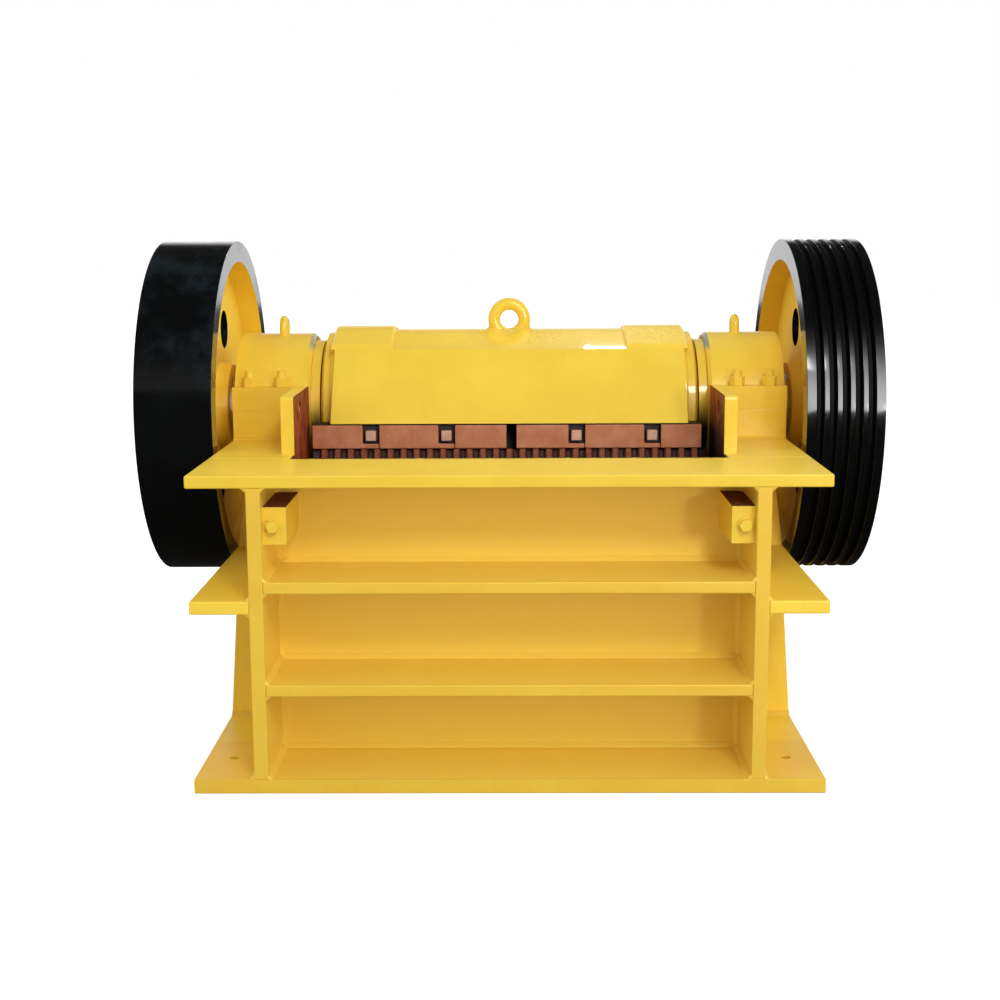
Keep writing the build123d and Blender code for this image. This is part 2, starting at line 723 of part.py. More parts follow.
def tension_spring():
    """The spring on a tension rod, its coils closed up."""
    start = rear_wall_back
    inner = spring_radius - 2 * spring_wire_radius
    outer = spring_radius - spring_wire_radius
    length = 2 * spring_wire_radius * spring_turns
    edges = Polyline((outer, length), (inner, length), (inner, 0), (outer, 0)).edges()
    for number in range(spring_turns):
        y0 = 2 * spring_wire_radius * number
        peak = (spring_radius, y0 + spring_wire_radius)
        edges.append(ThreePointArc((outer, y0), peak, (outer, y0 + 2 * spring_wire_radius)))
    spring = revolve(make_face(edges), axis=Axis.Y)
    return Pos(rod_x, start, rod_height) * spring


parts = {}
parts["base_front"], base_side, parts["base_rear"] = base_plates()
parts["front_wall"] = front_wall()
parts["rear_wall"] = rear_wall()
parts["deck_front"] = slab(-flange_half_width, flange_half_width, front_y, wall_back, deck_bottom, deck_top)
for name, top in (("upper", upper_rib_top), ("lower", lower_rib_top)):
    parts[name + "_front_rib"] = slab(-side_inner, side_inner, front_y, wall_front, top - rib_thickness, top)
for name, top in (("upper", rear_wall_top), ("lower", lower_rib_top)):
    rib = slab(-side_inner, side_inner, rear_wall_back, rear_y, top - rib_thickness, top)
    parts[name + "_rear_rib"] = rib
parts["fixed_jaw_plate"] = fixed_jaw_plate()
parts["toggle_block"] = toggle_block()
parts["toggle_plate"] = toggle_plate()
parts["eccentric_shaft"] = eccentric_shaft()
parts["swing_jaw"] = swing_jaw()
parts["moving_jaw_plate"] = moving_jaw_plate()
parts["jaw_toggle_seat"] = jaw_toggle_seat()
parts["left_clamp_blocks"] = clamp_blocks(clamp_joints_left)
parts["right_clamp_blocks"] = clamp_blocks(clamp_joints_right)
parts["clamp_bolts"] = clamp_bolts()
parts["lifting_eye"] = lifting_eye()
pairs = {
    "base_flange": base_side,
    "side_plate": side_plate(),
    "deck_flange": deck_flange(),
    "shelf_flange": slab(side_outer, flange_half_width, front_y, rear_y, shelf_bottom, shelf_top),
    "gussets": gussets(),
    "bearing_seat": bearing_seat(),
    "bearing_cap": bearing_cap(),
    "cap_studs": cap_studs(),
    "seal_ring": seal_ring(),
    "cheek_plate": cheek_plate(),
    "bolt_lug": bolt_lug(),
    "tension_rod": tension_rod(),
    "tension_spring": tension_spring(),
}
for name, shape in pairs.items():
    for side, piece in both_sides(shape).items():
        parts[side + "_" + name] = piece
parts["right_flywheel"] = flywheel(grooves=True)
parts["left_flywheel"] = mirror(flywheel(grooves=False), about=Plane.YZ)

os.makedirs("parts", exist_ok=True)
for name, shape in parts.items():
    export_step(shape, "parts/" + name + ".step")
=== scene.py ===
# Jaw crusher with a ribbed front wall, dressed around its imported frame.
# Metres, Z up, the front faces -Y.

import math
import bpy
from mathutils import Matrix, Vector


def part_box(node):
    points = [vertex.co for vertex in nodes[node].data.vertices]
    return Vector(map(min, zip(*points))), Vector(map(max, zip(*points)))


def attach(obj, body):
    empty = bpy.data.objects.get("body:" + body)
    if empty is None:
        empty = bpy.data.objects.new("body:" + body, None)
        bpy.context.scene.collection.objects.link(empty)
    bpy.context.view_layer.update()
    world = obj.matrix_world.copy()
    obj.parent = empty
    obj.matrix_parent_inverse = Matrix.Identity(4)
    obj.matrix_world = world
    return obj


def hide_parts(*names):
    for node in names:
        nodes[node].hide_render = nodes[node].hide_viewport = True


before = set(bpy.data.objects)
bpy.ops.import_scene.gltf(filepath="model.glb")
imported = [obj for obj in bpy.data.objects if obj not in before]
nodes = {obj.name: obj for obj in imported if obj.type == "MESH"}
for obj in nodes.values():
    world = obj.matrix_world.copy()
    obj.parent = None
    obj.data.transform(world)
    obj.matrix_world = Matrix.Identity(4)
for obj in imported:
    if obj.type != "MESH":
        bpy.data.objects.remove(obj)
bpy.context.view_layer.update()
bpy.ops.object.select_all(action="DESELECT")
print("frame loaded with", len(nodes), "nodes")


# Places read from the frame

sides = {"left": -1, "right": 1}
wheelLow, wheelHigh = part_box("right_flywheel")
wheelRadius = (wheelHigh.y - wheelLow.y) / 2
wheelMiddle = (wheelLow.x + wheelHigh.x) / 2
shaftY = (wheelLow.y + wheelHigh.y) / 2
shaftZ = (wheelLow.z + wheelHigh.z) / 2
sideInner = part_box("right_side_plate")[0].x
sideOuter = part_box("right_side_plate")[1].x
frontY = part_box("upper_front_rib")[0].y
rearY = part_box("upper_rear_rib")[1].y
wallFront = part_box("front_wall")[0].y
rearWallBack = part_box("rear_wall")[1].y
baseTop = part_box("base_front")[1].z
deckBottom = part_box("deck_front")[0].z
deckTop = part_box("deck_front")[1].z
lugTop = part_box("right_bolt_lug")[1].z
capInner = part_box("right_bearing_cap")[0].x
clampLow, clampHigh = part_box("right_clamp_blocks")
cheekLow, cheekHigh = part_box("right_cheek_plate")
cheekInner = cheekLow.x


def reach(node):
    # how far a node goes out from the middle, on either side
    low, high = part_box(node)
    return max(abs(low.x), abs(high.x))


# Shader values as expressions

class Value:
    # a socket that turns into Math nodes when it is used in an expression

    def __init__(self, recipe, socket):
        self.recipe = recipe
        self.socket = socket

    def maths(self, operation, first, second=0.0):
        return self.recipe.maths(operation, first, second)

    def __add__(self, other):
        return self.maths("ADD", self, other)

    def __radd__(self, other):
        return self.maths("ADD", other, self)

    def __sub__(self, other):
        return self.maths("SUBTRACT", self, other)

    def __rsub__(self, other):
        return self.maths("SUBTRACT", other, self)

    def __mul__(self, other):
        return self.maths("MULTIPLY", self, other)

    def __rmul__(self, other):
        return self.maths("MULTIPLY", other, self)

    def __truediv__(self, other):
        return self.maths("DIVIDE", self, other)

    def __gt__(self, other):
        return self.maths("GREATER_THAN", self, other)

    def __lt__(self, other):
        return self.maths("LESS_THAN", self, other)

    def __pow__(self, power):
        return self.maths("POWER", self, power)

    def __abs__(self):
        return self.maths("ABSOLUTE", self)

    def rise(self, low, high):
        # 0 below low and 1 above high, smooth between them
        settings = {"interpolation_type": "SMOOTHSTEP"}
        inputs = {"Value": self, "From Min": low, "From Max": high}
        return self.recipe.node("ShaderNodeMapRange", settings, inputs)


class Recipe:
    # one material or world, with the one method that makes any node of it

    def __init__(self, owner):
        owner.use_nodes = True
        self.owner = owner
        self.tree = owner.node_tree
        self.tree.nodes.clear()

    def node(self, kind, settings=None, inputs=None, output=0):
        made = self.tree.nodes.new(kind)
        for name, value in (settings or {}).items():
            setattr(made, name, value)
        for name, value in (inputs or {}).items():
            if isinstance(value, Value):
                self.tree.links.new(value.socket, made.inputs[name])
            else:
                made.inputs[name].default_value = value
        return Value(self, made.outputs[output]) if made.outputs else None

    def maths(self, operation, first, second=0.0):
        return self.node("ShaderNodeMath", {"operation": operation}, {0: first, 1: second})

    def place(self):
        return self.node("ShaderNodeTexCoord", output="Object")

    def axes(self, point=None):
        # the X, Y and Z of a point, or else of the object coordinates
        point = point or self.place()
        return [self.node("ShaderNodeSeparateXYZ", None, {0: point}, axis) for axis in range(3)]

    def noise(self, size, detail=3.0, roughness=0.5, stretch=(1.0, 1.0, 1.0)):
        # cloudy noise whose patches are about size metres across
        mapped = self.node("ShaderNodeMapping", None, {"Vector": self.place(), "Scale": stretch})
        inputs = {"Vector": mapped, "Scale": 1.0 / size, "Detail": detail, "Roughness": roughness}
        return self.node("ShaderNodeTexNoise", None, inputs)

    def mix(self, factor, first, second):
        first, second = [c if isinstance(c, Value) else (*c, 1.0) for c in (first, second)]
        inputs = {0: factor, 6: first, 7: second}
        return self.node("ShaderNodeMix", {"data_type": "RGBA"}, inputs, 2)

    def bump(self, height, distance, normal=None):
        inputs = {"Height": height, "Distance": distance}
        if normal:
            inputs["Normal"] = normal
        return self.node("ShaderNodeBump", None, inputs)

    def surface(self, sockets):
        sockets = {name: (*value, 1.0) if isinstance(value, tuple) else value
                   for name, value in sockets.items()}
        shader = self.node("ShaderNodeBsdfPrincipled", None, sockets)
        self.node("ShaderNodeOutputMaterial", None, {"Surface": shader})
        return self.owner


def recipe(name):
    return Recipe(bpy.data.materials.new(name))


# Enamel on the welded frame and the castings

enamel = {
    "yellow": (0.84, 0.570, 0.046),
    "paleYellow": (0.885, 0.622, 0.057),
    "deepYellow": (0.76, 0.47, 0.036),
    "bayYellow": (0.905, 0.640, 0.086),  # painted light: paler yellow inside the open bays of the front, for the light bounced round them
    "frontLift": (0.965, 0.90, 1.0),  # painted shade on upright plates, ribs and weld beads
    "sideLift": (1.09, 1.09, 1.2),  # painted light on the shelves and gussets at the sides
    "roofLift": (1.10, 1.10, 1.0),  # painted light on the roof of the swing jaw
    "patchSize": 0.22,
    "patchRange": (0.35, 0.75),
    "dripSize": 0.03,
    "dripStretch": (1.0, 1.0, 0.15),
    "dripRange": (0.55, 0.9),
    "dripShare": 0.25,
    # painted shade, in patches, low in the crushing chamber
    "grime": (0.020, 0.010, 0.006),
    "grimeRange": (0.2, 0.45),
    "grimeTop": (0.02, 0.13),  # above the deck, where the painted shade fades out
    # painted reflection at the top of the bearing caps' inner edges
    "wornGrey": (0.30, 0.34, 0.29),
    "wornRange": (0.3, 0.5),
    "wornEdge": (-0.001, 0.012),  # across the inner edge of each bearing cap
    "wornLevel": (0.18, 0.20),  # above the shaft
    "glossSize": 0.09,
    "glossChange": 0.12,
    "peelSize": 0.0055,
    "peelDepth": 0.00016,
    "waveSize": 0.035,
    "waveDepth": 0.0007,
    "castSize": 0.012,
    "castDepth": 0.0007,
    "gritSize": 0.018,
    "gritDepth": 0.0028,
    "gritLevel": (0.19, 0.22),  # above the shaft, on the roof of the swing jaw
    "roughness": 0.42,
    "plateCoat": 0.10,
    "castCoat": 0.45,
    "coatRoughness": 0.10,
    "wetCoatRoughness": 0.03,
    "specular": 0.3,
}
# how far the painted light of the front bays and the painted shade of the crushing chamber reach
inside = {
    "plateSkin": 0.0006,
    "bayMouth": 0.008,
    "wallSkin": 0.01,
    "cheekSkin": 0.003,
    "chamberFront": 0.03,
    "chamberRear": 0.1,
}


def lifted(color, lift):
    return tuple(c * part for c, part in zip(color, lift))


def aboveDeck(z):
    # 0 near the deck and 1 above the reach of the painted shade
    low, high = enamel["grimeTop"]
    return z.rise(deckTop + low, deckTop + high)


def makeDrips(made, levels):
    # upright streaks
    return made.noise(enamel["dripSize"], 2.0, 0.5, enamel["dripStretch"]).rise(*levels)


def enamelColor(made, lift=(1.0, 1.0, 1.0)):
    # yellow in slow patches with faint drips; lift tints it, for painted light and painted shade
    yellow, pale, deep = [lifted(enamel[tone], lift)
                          for tone in ("yellow", "paleYellow", "deepYellow")]
    patches = made.noise(enamel["patchSize"], 4.0, 0.6).rise(*enamel["patchRange"])
    drips = makeDrips(made, enamel["dripRange"]) * enamel["dripShare"]
    return made.mix(drips, made.mix(patches, yellow, pale), deep)


def insideColor(made, lift):
    # the same with painted light in the front bays and painted shade in the crushing chamber
    color = enamelColor(made, lift)
    x, y, z = made.axes()
    bay = (abs(x) < sideInner + inside["plateSkin"]) * (y > frontY + inside["bayMouth"])
    bay = bay * (y < wallFront + inside["wallSkin"]) * (z < deckBottom)
    # painted light: paler paint in the front bays
    color = made.mix(bay, color, enamel["bayYellow"])
    # painted shade: dark patches low in the crushing chamber, fading out above the deck
    paintedShade = (abs(x) < cheekInner + inside["cheekSkin"]) * (y > wallFront + inside["chamberFront"])
    paintedShade = paintedShade * (y < shaftY + inside["chamberRear"]) * makeDrips(made, enamel["grimeRange"])
    return made.mix(paintedShade * (1 - aboveDeck(z)), color, enamel["grime"])


def enamelBump(made, cast, keep=1.0):
    # slow waves, cast grain and orange peel; keep is 0 where the surface stays smooth
    normal = made.bump(made.noise(enamel["waveSize"], 2.0) * keep, enamel["waveDepth"])
    if cast:
        grain = made.noise(enamel["castSize"], 4.0, 0.6) * keep
        normal = made.bump(grain, enamel["castDepth"], normal)
    return made.bump(made.noise(enamel["peelSize"], 1.0) * keep, enamel["peelDepth"], normal)


def makeEnamel(name, cast, lift=(1.0, 1.0, 1.0)):
    made = recipe(name)
    cloudy = made.noise(enamel["glossSize"], 3.0)
    color = insideColor(made, lift)
    if cast:
        # painted reflection: a grey patch at the top of each bearing cap's inner edge, for the pale
        # room mirrored there
        x, y, z = made.axes()
        inner, outer = [capInner + step for step in enamel["wornEdge"]]
        low, high = [shaftZ + level for level in enamel["wornLevel"]]
        corner = (abs(x) > inner) * (abs(x) < outer) * (y < shaftY) * z.rise(low, high)
        color = made.mix(corner * cloudy.rise(*enamel["wornRange"]), color, enamel["wornGrey"])
    return made.surface({
        "Base Color": color,
        "Roughness": enamel["roughness"] + (cloudy - 0.5) * enamel["glossChange"],
        "Specular IOR Level": enamel["specular"],
        "Coat Weight": enamel["castCoat"] if cast else enamel["plateCoat"],
        "Coat Roughness": enamel["coatRoughness"],
        "Normal": enamelBump(made, cast),
    })


# lit and shaded copies of one enamel: frontEnamel carries painted shade, sideEnamel painted light
plateEnamel = makeEnamel("plateEnamel", False)
frontEnamel = makeEnamel("frontEnamel", False, enamel["frontLift"])
sideEnamel = makeEnamel("sideEnamel", False, enamel["sideLift"])
castEnamel = makeEnamel("castEnamel", True)


# Flywheels: black rim, yellow web and hub

wheelPaint = {
    "rimEdge": 0.4597,  # radius where the rim begins
    "landDepth": 0.003,  # the rim shines this far in from its outside
    "faceDepth": 0.0012,  # and this far in from its side faces
    "holeTurn": 16.0,
    "holePitchRadius": 0.251,
    "holeRadius": 0.0614,
    "black": (0.0025, 0.0028, 0.003),
    "dust": (0.008, 0.013, 0.016),
    "dustSize": 0.16,
    "dustRange": (0.45, 0.66),
    "dustLevel": (0.05, 0.25),  # above the shaft, where the dust gets full
    "dustLeast": 0.15,
    "dustRoughness": 0.2,
    "grooveRoughness": 0.3,
    "roughness": 0.20,
    "rimCoat": 0.9,
    "webCoat": 0.1,
    "specular": 0.06,
    # painted light on the web of the left wheel
    "leftLift": (1.06, 1.06, 1.15),
    # painted shade on the web of the right wheel
    "rightLift": (0.9, 0.84, 0.9),
}


def wheelHoles(made, y, z):
    # 1 inside the four round holes of the web, which are folded onto one
    turn = math.radians(wheelPaint["holeTurn"])
    u = abs(z * math.sin(turn) - y * math.cos(turn))
    v = abs(y * math.sin(turn) + z * math.cos(turn))
    far = made.maths("MAXIMUM", u, v) - wheelPaint["holePitchRadius"]
    near = made.maths("MINIMUM", u, v)
    return (far * far + near * near) ** 0.5 < wheelPaint["holeRadius"]


# webLift is painted light on the left wheel and painted shade on the right
def makeWheelPaint(name, dusty, webLift):
    made = recipe(name)
    x, y, z = made.axes()
    y, z = y - shaftY, z - shaftZ
    radius = (y ** 2 + z ** 2) ** 0.5
    rim = radius > wheelPaint["rimEdge"]
    land = radius > wheelRadius - wheelPaint["landDepth"]
    face = abs(abs(x) - wheelMiddle) > wheelHigh.x - wheelMiddle - wheelPaint["faceDepth"]
    shiny = rim * made.maths("MAXIMUM", land, face)
    black = made.maths("MAXIMUM", rim, wheelHoles(made, y, z))
    least = wheelPaint["dustLeast"]
    clouds = made.noise(wheelPaint["dustSize"], 5.0, 0.62).rise(*wheelPaint["dustRange"])
    clouds = clouds * (least + (1 - least) * z.rise(*wheelPaint["dustLevel"])) * dusty
    tone = made.mix(clouds, wheelPaint["black"], wheelPaint["dust"])
    rough = wheelPaint["roughness"] + clouds * wheelPaint["dustRoughness"]
    rough = enamel["roughness"] * (1 - black) + rough * black
    return made.surface({
        "Base Color": made.mix(black, enamelColor(made, webLift), tone),
        "Roughness": rough + (rim - shiny) * wheelPaint["grooveRoughness"],
        "Specular IOR Level": wheelPaint["specular"],
        "Coat Weight": wheelPaint["webCoat"] * (1 - rim) + shiny * wheelPaint["rimCoat"],
        "Coat Roughness": enamel["coatRoughness"],
        "Normal": enamelBump(made, True, 1 - rim),
    })


wheelPaints = {
    "left": makeWheelPaint("leftWheelPaint", 1.0, wheelPaint["leftLift"]),
    "right": makeWheelPaint("rightWheelPaint", 0.0, wheelPaint["rightLift"]),
}


# Red-brown primer on the wear parts

primer = {
    "block": (0.50, 0.165, 0.070),
    "blockPale": (0.62, 0.24, 0.12),
    "cheek": (0.38, 0.064, 0.012),
    "crest": (0.33, 0.075, 0.028),
    # dark brown: painted shade in the tooth valleys, also used for dark specks and patches
    "valley": (0.035, 0.008, 0.004),
    # near black: painted shade on the clamp blocks, the jaw behind them, the lug tops and the right
    # cheek
    "dark": (0.012, 0.004, 0.003),
    "pocketDepth": 0.0035,  # painted shade: the clamp blocks are dark from here back
    "crestDepth": (0.002, 0.012),  # from a tooth's crest down to the valley, dark as painted shade
    "jawSeat": (-0.03, 0.004),  # painted shade, below and above the clamp blocks
    "jawSeatRear": 0.01,
    "lugSkin": 0.0015,
    "cheekSkin": 0.0008,
    "roughness": 0.55,
    "grainRoughness": 0.15,
    "seatRoughness": 0.3,
    "lugRoughness": 0.4,
    "cheekRoughness": 0.15,
    "specular": 0.35,
    "grainSize": 0.004,
    "lugGrainSize": 0.006,
    "blockCloudSize": 0.05,
    "toothCloudSize": 0.02,
    "cheekCloudSize": 0.06,
    "blockPatches": (0.35, 0.75),
    "blockSpecks": (0.5, 0.8),
    "toothPatches": (0.45, 0.75),
    "cheekPatches": (0.25, 0.6),
    "lugPatches": (0.4, 0.7),
    "patchShare": 0.5,
    "blockDepths": (0.0012, 0.0009),  # of the clouds and of the grain
    "toothDepths": (0.0015, 0.0006),
    "lugDepth": 0.002,
}
cheekBolt = {
    "setBack": 0.135,  # behind the cheek's front edge
    "drop": 0.05,  # below its top
    "recessRadius": 0.0262,
    "recessDepth": 0.0215,
    "standIn": 0.0136,  # from the cheek's face to the middle of the bolt head
    "radius": 0.017,
    "height": 0.012,
    "chamfer": 0.0015,
    "turn": 0.4,
    "smoothAngle": 30.0,
}
teeth = {
    "bottom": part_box("moving_jaw_plate")[0].z,
    "fixedCrest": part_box("fixed_jaw_plate")[1].y,
    "movingCrest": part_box("moving_jaw_plate")[0].y,
    "movingLean": 200.0 / 720.0,  # the moving plate goes back 200 mm over its 720 mm
}
boltY = cheekLow.y + cheekBolt["setBack"]
boltZ = cheekHigh.z - cheekBolt["drop"]


def primed(made, tone, clouds, grain, depths):
    # a primed surface, with depths for the bumps of its clouds and of its grain
    cloudDepth, grainDepth = depths
    return made.surface({
        "Base Color": tone,
        "Roughness": primer["roughness"] + grain * primer["grainRoughness"],
        "Specular IOR Level": primer["specular"],
        "Normal": made.bump(grain, grainDepth, made.bump(clouds, cloudDepth)),
    })


def makeBlockPaint():
    # cast clamp blocks, with painted shade nearly black inside the pockets of the bolt heads and
    # below
    made = recipe("blockPaint")
    x, y, z = made.axes()
    clouds = made.noise(primer["blockCloudSize"], 4.0, 0.65)
    grain = made.noise(primer["grainSize"], 3.0, 0.7)
    specks = grain.rise(*primer["blockSpecks"]) * primer["patchShare"]
    tone = made.mix(clouds.rise(*primer["blockPatches"]), primer["block"], primer["blockPale"])
    tone = made.mix(specks, tone, primer["valley"])
    tone = made.mix(y > clampLow.y + primer["pocketDepth"], tone, primer["dark"])
    return primed(made, tone, clouds, grain, primer["blockDepths"])


def makeToothPaint(name, crestY, lean):
    # crests are worn lighter and the valleys are painted shade; lean is the plate's slope away from
    # vertical
    made = recipe(name)
    x, y, z = made.axes()
    depth = abs(y - crestY - (z - teeth["bottom"]) * lean)
    clouds = made.noise(primer["toothCloudSize"], 4.0, 0.65)
    grain = made.noise(primer["grainSize"], 3.0, 0.7)
    tone = made.mix(depth.rise(*primer["crestDepth"]), primer["crest"], primer["valley"])
    dark = clouds.rise(*primer["toothPatches"]) * primer["patchShare"]
    tone = made.mix(dark, tone, primer["valley"])
    return primed(made, tone, clouds, grain, primer["toothDepths"])


def makeJawPaint():
    # enamel on the casting with a gritty roof in painted light, and painted shade behind the clamp
    # blocks
    made = recipe("jawPaint")
    x, y, z = made.axes()
    below, above = primer["jawSeat"]
    # painted shade: nearly black round the back of the clamp blocks
    seat = (z < clampHigh.z + above) * (z > clampLow.z + below)
    seat = seat * (y < clampHigh.y + primer["jawSeatRear"])
    low, high = [shaftZ + level for level in enamel["gritLevel"]]
    roof = z.rise(low, high)
    grit = made.noise(enamel["gritSize"], 2.0, 0.6) * roof
    # painted light: the roof is lighter
    color = made.mix(roof, enamelColor(made), enamelColor(made, enamel["roofLift"]))
    return made.surface({
        "Base Color": made.mix(seat, color, primer["dark"]),
        "Roughness": enamel["roughness"] + primer["seatRoughness"] * seat,
        "Specular IOR Level": enamel["specular"],
        "Coat Weight": (1 - seat) * enamel["castCoat"],
        "Coat Roughness": enamel["wetCoatRoughness"],
        "Normal": made.bump(grit, enamel["gritDepth"], enamelBump(made, True)),
    })


def makeLugPaint():
    # the flame-cut top of the lug, under the deck, has mottled painted shade
    made = recipe("lugPaint")
    x, y, z = made.axes()
    grain = made.noise(primer["lugGrainSize"], 4.0, 0.7)
    top = z > lugTop - primer["lugSkin"]
    mottledShade = made.mix(grain.rise(*primer["lugPatches"]), primer["dark"], primer["cheek"])
    return made.surface({
        "Base Color": made.mix(top, enamelColor(made), mottledShade),
        "Roughness": enamel["roughness"] + top * primer["lugRoughness"],
        "Specular IOR Level": enamel["specular"],
        "Normal": made.bump(grain * top, primer["lugDepth"], enamelBump(made, False)),
    })


def makeCheekPaint():
    # the liner's stone side and bolt recess are primed, its edges have the frame's enamel; the
    # right liner's stone side has painted shade low down
    made = recipe("cheekPaint")
    x, y, z = made.axes()
    fromBolt = ((y - boltY) ** 2 + (z - boltZ) ** 2) ** 0.5
    recess = fromBolt < cheekBolt["recessRadius"]
    recess = recess * (abs(x) < cheekInner + cheekBolt["recessDepth"])
    stoneSide = made.maths("MAXIMUM", recess, abs(x) < cheekInner + primer["cheekSkin"])
    clouds = made.noise(primer["cheekCloudSize"], 4.0, 0.65)
    brown = made.mix(clouds.rise(*primer["cheekPatches"]), primer["valley"], primer["cheek"])
    paintedShade = (x > 0.0) * (1 - aboveDeck(z))  # painted shade, darker towards the bottom, only on the right one
    brown = made.mix(paintedShade, brown, primer["dark"])
    return made.surface({
        "Base Color": made.mix(stoneSide, enamelColor(made), brown),
        "Roughness": enamel["roughness"] + stoneSide * primer["cheekRoughness"],
        "Specular IOR Level": enamel["specular"],
        "Coat Weight": (1 - stoneSide) * enamel["castCoat"],
        "Coat Roughness": enamel["coatRoughness"],
        "Normal": enamelBump(made, True),
    })


blockPaint = makeBlockPaint()
jawPaint = makeJawPaint()
lugPaint = makeLugPaint()
cheekPaint = makeCheekPaint()
fixedTeeth = makeToothPaint("fixedTeeth", teeth["fixedCrest"], 0.0)
movingTeeth = makeToothPaint("movingTeeth", teeth["movingCrest"], teeth["movingLean"])


# Bare, oiled and enamelled steel

steel = {
    "bolt": (0.66, 0.35, 0.24),
    "turned": (0.56, 0.56, 0.57),
    "plain": (0.33, 0.29, 0.27),
    "spring": (0.012, 0.012, 0.013),
    "shade": 0.55,  # the darker clouds, as a share of the colour
    "cloudSize": 0.03,
    "cloudRange": (0.4, 0.75),
    "cloudShare": 0.5,
    "cloudRoughness": 0.2,
    "lineSize": 0.0015,
    "lineDepth": 0.00012,
    "rings": (1.0, 0.04, 0.04),
    "streaks": (0.05, 1.0, 1.0),
}


def makeSteel(name, color, roughness, lines="streaks", metallic=1.0):
    made = recipe(name)
    clouds = made.noise(steel["cloudSize"], 4.0, 0.6)
    shade = tuple(c * steel["shade"] for c in color)
    marks = made.noise(steel["lineSize"], 2.0, 0.5, steel[lines])
    patches = clouds.rise(*steel["cloudRange"]) * steel["cloudShare"]
    return made.surface({
        "Base Color": made.mix(patches, color, shade),
        "Metallic": metallic,
        "Roughness": roughness + clouds * steel["cloudRoughness"],
        "Normal": made.bump(marks, steel["lineDepth"]),
    })


boltSteel = makeSteel("boltSteel", steel["bolt"], 0.5, metallic=0.1)
turnedSteel = makeSteel("turnedSteel", steel["turned"], 0.28, "rings")
plainSteel = makeSteel("plainSteel", steel["plain"], 0.5)
springEnamel = makeSteel("springEnamel", steel["spring"], 0.3, metallic=0.0)
print("materials made")


# CAD nodes: softened edges and finish

edge = {
    "plate": 0.0022,  # bevel width where no other is given
    "sharpAngle": 32.0,
    "flatAngle": 0.3,
    "segments": 3,
    "weldGap": 0.00001,
}
# other bevel widths, for the names of nodes without left or right
edgeWidths = {
    0.004: ["swing_jaw"],
    0.0045: ["upper_front_rib", "lower_front_rib", "deck_front", "deck_flange", "shelf_flange",
             "base_front"],
    0.003: ["clamp_blocks", "clamp_bolts"],
    0.001: ["flywheel", "eccentric_shaft", "seal_ring", "cap_studs", "bolt_lug", "lifting_eye",
            "fixed_jaw_plate", "moving_jaw_plate", "tension_rod"],
}
finishes = {
    plateEnamel: ["deck_front"],
    frontEnamel: ["base_front", "base_rear", "front_wall", "rear_wall", "upper_front_rib",
                  "lower_front_rib", "upper_rear_rib", "lower_rear_rib"],
    castEnamel: ["lifting_eye"],
    jawPaint: ["swing_jaw"],
    blockPaint: ["left_clamp_blocks", "right_clamp_blocks"],
    fixedTeeth: ["fixed_jaw_plate"],
    movingTeeth: ["moving_jaw_plate"],
    boltSteel: ["clamp_bolts"],
    turnedSteel: ["eccentric_shaft"],
    plainSteel: ["toggle_plate", "toggle_block", "jaw_toggle_seat"],
}
sidedFinishes = {
    plateEnamel: ["base_flange", "deck_flange"],
    frontEnamel: ["side_plate"],
    sideEnamel: ["shelf_flange", "gussets"],
    lugPaint: ["bolt_lug"],
    castEnamel: ["bearing_seat", "bearing_cap", "cap_studs", "seal_ring"],
    cheekPaint: ["cheek_plate"],
    turnedSteel: ["tension_rod"],
}


def smoothingGroup():
    # smooth shading except across sharp edges, with the imported normals taken off
    group = bpy.data.node_groups.new("smoothByAngle", "GeometryNodeTree")
    group.interface.new_socket("Geometry", in_out="INPUT", socket_type="NodeSocketGeometry")
    group.interface.new_socket("Geometry", in_out="OUTPUT", socket_type="NodeSocketGeometry")
    start = group.nodes.new("NodeGroupInput")
    end = group.nodes.new("NodeGroupOutput")
    angle = group.nodes.new("GeometryNodeInputMeshEdgeAngle")
    soft = group.nodes.new("FunctionNodeCompare")
    soft.data_type = "FLOAT"
    soft.operation = "LESS_EQUAL"
    soft.inputs[1].default_value = math.radians(edge["sharpAngle"])
    invert = group.nodes.new("FunctionNodeBooleanMath")
    invert.operation = "NOT"
    plain = group.nodes.new("GeometryNodeSetMeshNormal")
    plain.mode = "SHARPNESS"
    plain.inputs["Remove Custom"].default_value = True
    plain.inputs["Face Sharpness"].default_value = False
    links = group.links
    links.new(angle.outputs["Unsigned Angle"], soft.inputs[0])
    links.new(soft.outputs[0], invert.inputs[0])
    links.new(invert.outputs[0], plain.inputs["Edge Sharpness"])
    links.new(start.outputs[0], plain.inputs["Mesh"])
    links.new(plain.outputs[0], end.inputs[0])
    return group


smoothByAngle = smoothingGroup()


def soften(piece, width, mergeFlats):
    weldOn = piece.modifiers.new("joinCorners", "WELD")
    weldOn.merge_threshold = edge["weldGap"]
    if mergeFlats:
        flat = piece.modifiers.new("flatFaces", "DECIMATE")
        flat.decimate_type = "DISSOLVE"
        flat.angle_limit = math.radians(edge["flatAngle"])
    bevel = piece.modifiers.new("softEdges", "BEVEL")
    bevel.width = width
    bevel.segments = edge["segments"]
    bevel.limit_method = "ANGLE"
    bevel.angle_limit = math.radians(edge["sharpAngle"])
    bevel.use_clamp_overlap = True
    smooth = piece.modifiers.new("smoothShading", "NODES")
    smooth.node_group = smoothByAngle
    flatten = piece.modifiers.new("flatShading", "WEIGHTED_NORMAL")
    flatten.mode = "FACE_AREA"
    flatten.weight = 50
    flatten.keep_sharp = True


def edgeWidth(plain):
    for width, names in edgeWidths.items():
        if plain in names:
            return width
    return edge["plate"]


